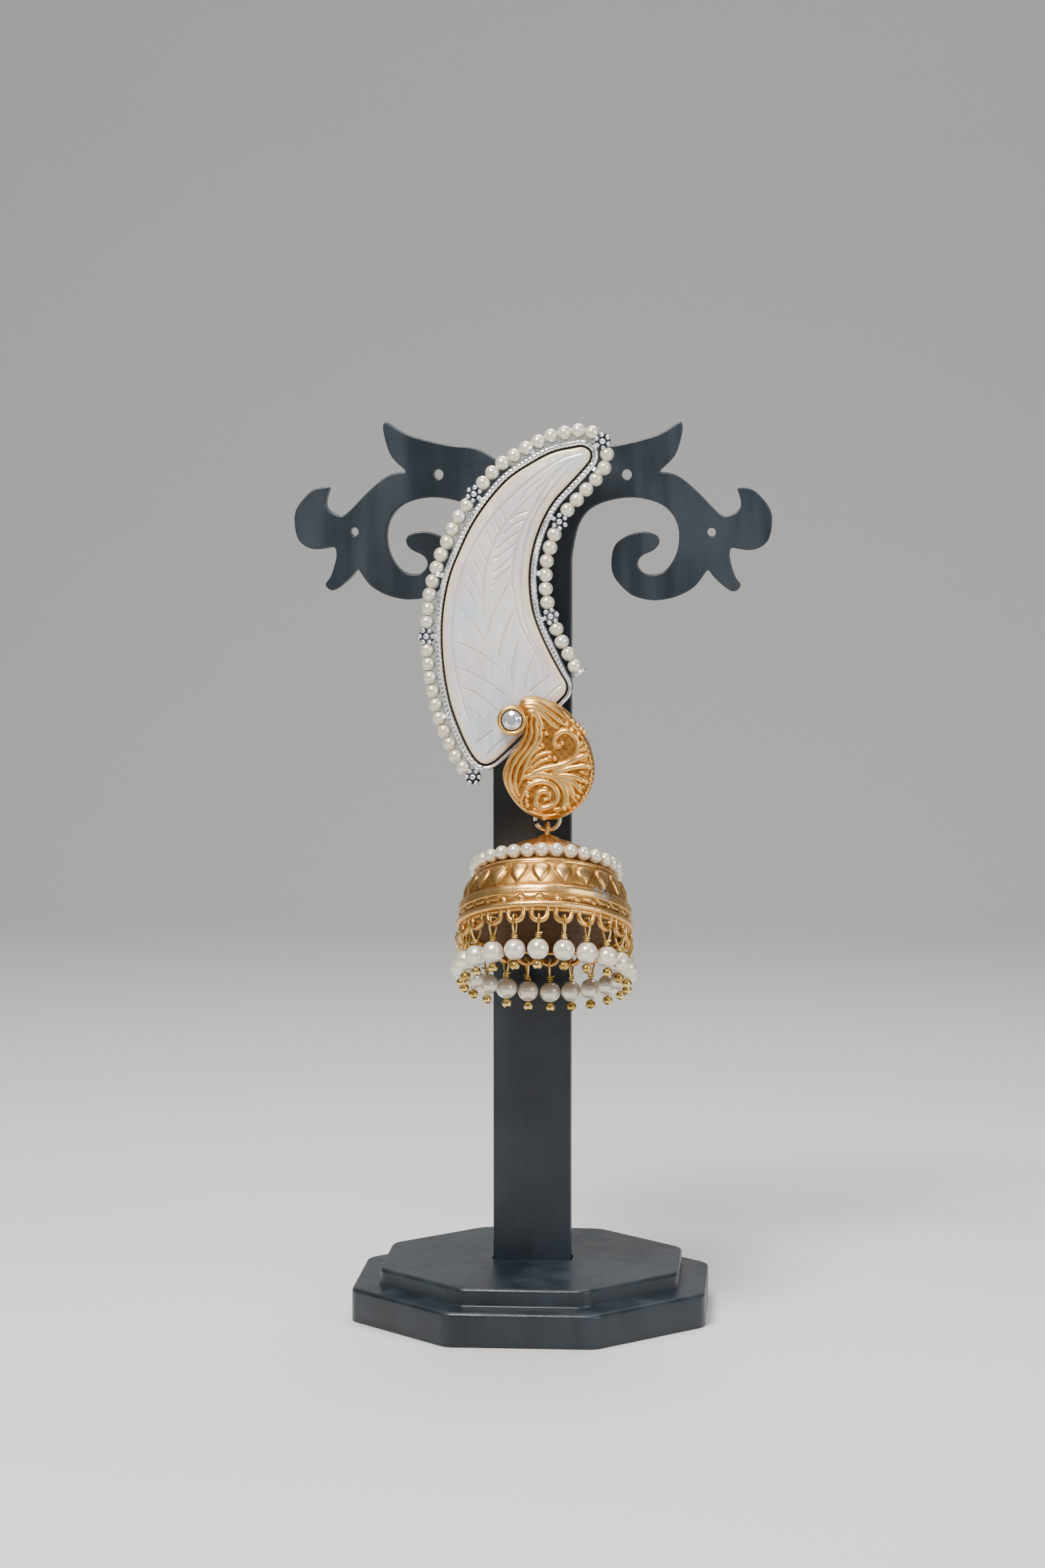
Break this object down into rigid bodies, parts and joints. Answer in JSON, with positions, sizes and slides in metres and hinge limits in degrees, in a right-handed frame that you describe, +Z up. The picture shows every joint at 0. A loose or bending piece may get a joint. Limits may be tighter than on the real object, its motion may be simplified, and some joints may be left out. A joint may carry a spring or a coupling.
{
  "type": "jhumka earring on a display stand",
  "caption": "Bell-shaped jhumka earring with a pearl-edged shell crescent and a gold paisley, hung on a black two-armed display stand.",
  "frame": {"origin": "centre of the stand base's underside", "axes": "+Z up, front of the earring towards -Y, +X to the viewer's right"},
  "size_m": [0.0866, 0.0681, 0.1631],
  "materials": {
    "black_plastic": "satin black moulded plastic with a faint blue cast",
    "oxidised_silver": "oxidised silver, bright on raised metal and dark in its hollows",
    "mother_of_pearl": "polished mother of pearl with pink and blue play of colour",
    "steel_pin": "plain polished pin and clutch",
    "cream_pearl": "cream pearl lustre",
    "matte_gold": "matte gold plate on a cast relief",
    "antique_gold": "antique gold plate, worn bright on ridges and brown in its hollows",
    "bright_gold": "pale polished gold wire",
    "white_stone": "clear faceted white stone"
  },
  "bodies": {
    "stand": {"stand_base": "black_plastic", "stand_post": "black_plastic", "crescent_setting": "oxidised_silver", "crescent_shell": "mother_of_pearl", "ear_post": "steel_pin", "pearl_string": "cream_pearl", "paisley": "matte_gold", "stone": "white_stone"},
    "ring": {"jump_ring": "bright_gold"},
    "bell": {"bell_dome": "antique_gold", "bell_pearls": "cream_pearl", "drop_01": "cream_pearl", "drop_02": "cream_pearl", "drop_03": "cream_pearl", "drop_04": "cream_pearl", "drop_05": "cream_pearl", "drop_06": "cream_pearl", "drop_07": "cream_pearl", "drop_08": "cream_pearl", "drop_09": "cream_pearl", "drop_10": "cream_pearl", "drop_11": "cream_pearl", "drop_12": "cream_pearl", "drop_13": "cream_pearl", "drop_14": "cream_pearl", "drop_15": "cream_pearl", "drop_16": "cream_pearl", "drop_17": "cream_pearl", "drop_18": "cream_pearl", "drop_19": "cream_pearl", "drop_20": "cream_pearl", "drop_21": "cream_pearl", "drop_22": "cream_pearl"}
  },
  "joints": [
    {"name": "ring_swing", "type": "hinge", "parent": "stand", "child": "ring", "pos_m": [0.0035, -0.0123, 0.0943], "axis": [0, 1, 0], "range_deg": [-15, 15]},
    {"name": "bell_swing", "type": "hinge", "parent": "ring", "child": "bell", "pos_m": [0.0035, -0.0123, 0.0899], "axis": [-1, 0, 0], "range_deg": [0, 25]}
  ]
}
